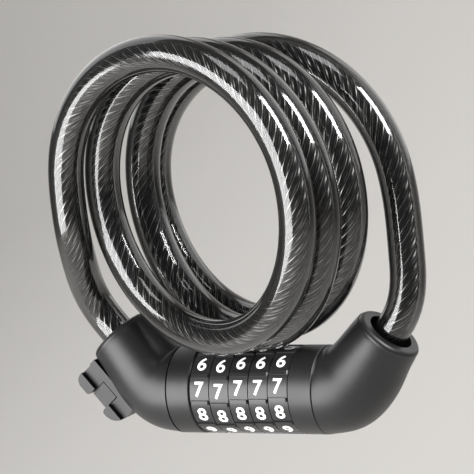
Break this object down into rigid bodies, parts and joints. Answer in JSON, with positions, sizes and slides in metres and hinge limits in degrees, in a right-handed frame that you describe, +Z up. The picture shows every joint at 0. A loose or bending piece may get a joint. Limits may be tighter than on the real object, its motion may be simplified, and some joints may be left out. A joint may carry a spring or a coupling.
{
  "type": "combination cable lock",
  "caption": "Coiled steel cable lock with number dials on a round barrel, a pull-out bolt and a bracket shoe with a release button.",
  "frame": {"origin": "hanging point: under the tops of the cable's coil, over the middle of the barrel, where the lock hangs on a bicycle's frame tube", "axes": "+X along the barrel towards the end that pulls out with the bolt, -Y the side where the digits are read, +Z up; the barrel hangs 110 mm below the origin"},
  "size_m": [0.1297, 0.0778, 0.1395],
  "materials": {
    "housing_plastic": "fine satin grain, moulded",
    "dial_plastic": "satin, with white printed digits",
    "shoe_plastic": "moulded, slightly glossier",
    "cable_sheath": "smoky translucent, glossy",
    "wire_rope": "twisted strands",
    "lock_steel": "zinc plated",
    "fastener_steel": "blackened",
    "spring_steel": "plain",
    "brass": "turned",
    "ferrule_alloy": "crimped"
  },
  "bodies": {
    "lock_body": {"left_elbow": "housing_plastic", "barrel": "lock_steel", "right_collar": "housing_plastic", "barrel_pin": "fastener_steel", "left_ferrule": "ferrule_alloy", "left_grub_screw": "fastener_steel", "sheath_coil": "cable_sheath", "rope_coil": "wire_rope", "sheath_right_run": "cable_sheath", "rope_right_run": "wire_rope", "bracket_shoe": "shoe_plastic", "shoe_screws": "fastener_steel", "button_spring": "spring_steel", "detent_strip": "spring_steel", "disc_spring": "spring_steel", "stop_pin": "fastener_steel"},
    "reset_collar": {"reset_collar": "housing_plastic"},
    "bolt_head": {"right_elbow": "housing_plastic", "lock_bolt": "lock_steel", "bolt_pin": "fastener_steel", "right_ferrule": "ferrule_alloy", "right_grub_screw": "fastener_steel"},
    "release_button": {"release_button": "shoe_plastic"},
    "dial_1": {"dial_1": "dial_plastic", "gate_ring_1": "brass"},
    "dial_2": {"dial_2": "dial_plastic", "gate_ring_2": "brass"},
    "dial_3": {"dial_3": "dial_plastic", "gate_ring_3": "brass"},
    "dial_4": {"dial_4": "dial_plastic", "gate_ring_4": "brass"},
    "dial_5": {"dial_5": "dial_plastic", "gate_ring_5": "brass"}
  },
  "joints": [
    {"name": "dial_1_turn", "type": "hinge", "parent": "lock_body", "child": "dial_1", "pos_m": [0, 0, -0.11], "axis": [1, 0, 0], "continuous": true},
    {"name": "dial_2_turn", "type": "hinge", "parent": "lock_body", "child": "dial_2", "pos_m": [0, 0, -0.11], "axis": [1, 0, 0], "continuous": true},
    {"name": "dial_3_turn", "type": "hinge", "parent": "lock_body", "child": "dial_3", "pos_m": [0, 0, -0.11], "axis": [1, 0, 0], "continuous": true},
    {"name": "dial_4_turn", "type": "hinge", "parent": "lock_body", "child": "dial_4", "pos_m": [0, 0, -0.11], "axis": [1, 0, 0], "continuous": true},
    {"name": "dial_5_turn", "type": "hinge", "parent": "lock_body", "child": "dial_5", "pos_m": [0, 0, -0.11], "axis": [1, 0, 0], "continuous": true},
    {"name": "bolt_slide", "type": "slide", "parent": "lock_body", "child": "bolt_head", "axis": [1, 0, 0], "range_m": [0, 0.048], "deforming": ["sheath_right_run", "rope_right_run"]},
    {"name": "reset_turn", "type": "hinge", "parent": "lock_body", "child": "reset_collar", "pos_m": [0, 0, -0.11], "axis": [1, 0, 0], "range_deg": [0, 90]},
    {"name": "release_press", "type": "slide", "parent": "lock_body", "child": "release_button", "axis": [0.766, 0, 0.6428], "range_m": [0, 0.001], "stiffness_N_per_m": 400, "springref_m": -0.002, "deforming": ["button_spring"]}
  ]
}
